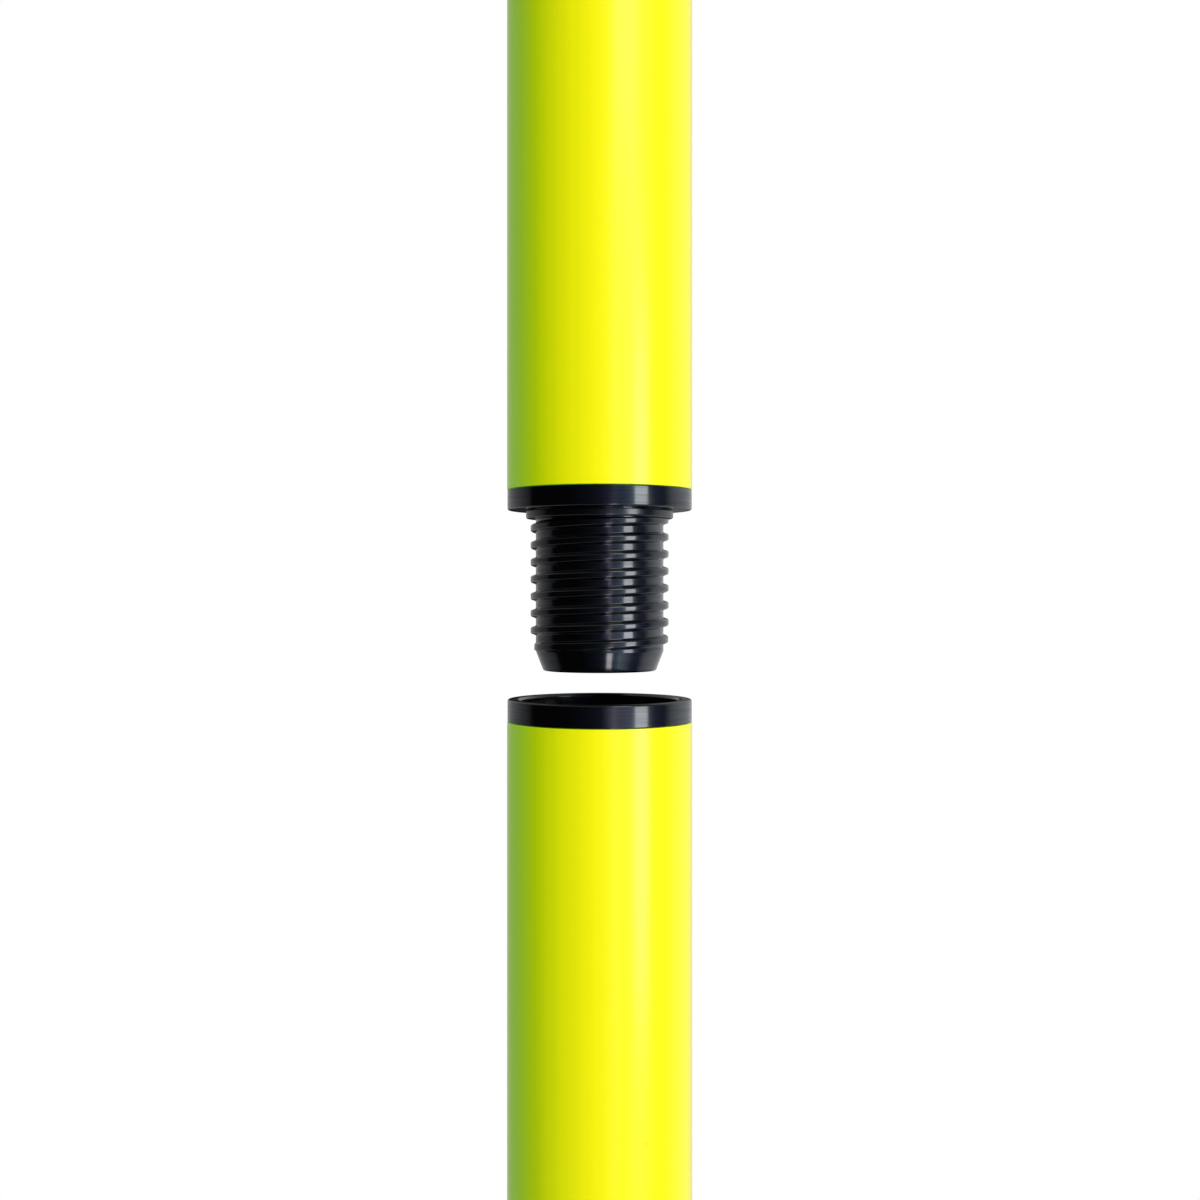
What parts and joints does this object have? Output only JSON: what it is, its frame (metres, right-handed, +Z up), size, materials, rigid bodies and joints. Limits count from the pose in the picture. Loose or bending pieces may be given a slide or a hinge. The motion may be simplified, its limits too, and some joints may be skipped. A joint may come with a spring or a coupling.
{
  "type": "slalom pole",
  "caption": "Fluorescent training pole in two tube halves that screw together with black threaded connectors, with an end cap and a pointed steel ground spike.",
  "frame": {"origin": "on the pole's axis at ground level, the plane of the foot plug's lower face; the spike lies below it", "axes": "+Z up along the pole, +X to the right and +Y away as the picture sees it"},
  "size_m": [0.025, 0.025, 1.7629],
  "materials": {
    "tube_yellow": "extruded plastic, fluorescent yellow, glossy",
    "connector_black": "injection-moulded plastic, blue-black, glossy",
    "moulded_black": "injection-moulded plastic, black, satin",
    "washer_rubber": "dark grey rubber, matt",
    "spike_steel": "turned steel, zinc plated",
    "fastener_steel": "zinc-plated steel"
  },
  "bodies": {
    "lower_half": {"foot_plug": "moulded_black", "ground_spike": "spike_steel", "spike_washer": "fastener_steel", "spike_nut": "fastener_steel", "lower_tube": "tube_yellow", "female_connector": "connector_black"},
    "washer_ring": {"thread_washer": "washer_rubber"},
    "upper_half": {"male_connector": "connector_black", "upper_tube": "tube_yellow", "top_cap": "moulded_black"}
  },
  "joints": [
    {"name": "screw_travel", "type": "slide", "parent": "lower_half", "child": "washer_ring", "axis": [0, 0, 1], "range_m": [-0.0254, 0]},
    {"name": "screw_turn", "type": "hinge", "parent": "washer_ring", "child": "upper_half", "pos_m": [0, 0, 0.8326], "axis": [0, 0, 1], "range_deg": [-3975.7, 0]}
  ],
  "couplings": [
    {"joint": "screw_turn", "follows": "screw_travel", "rad_per_m": 2731.8}
  ]
}
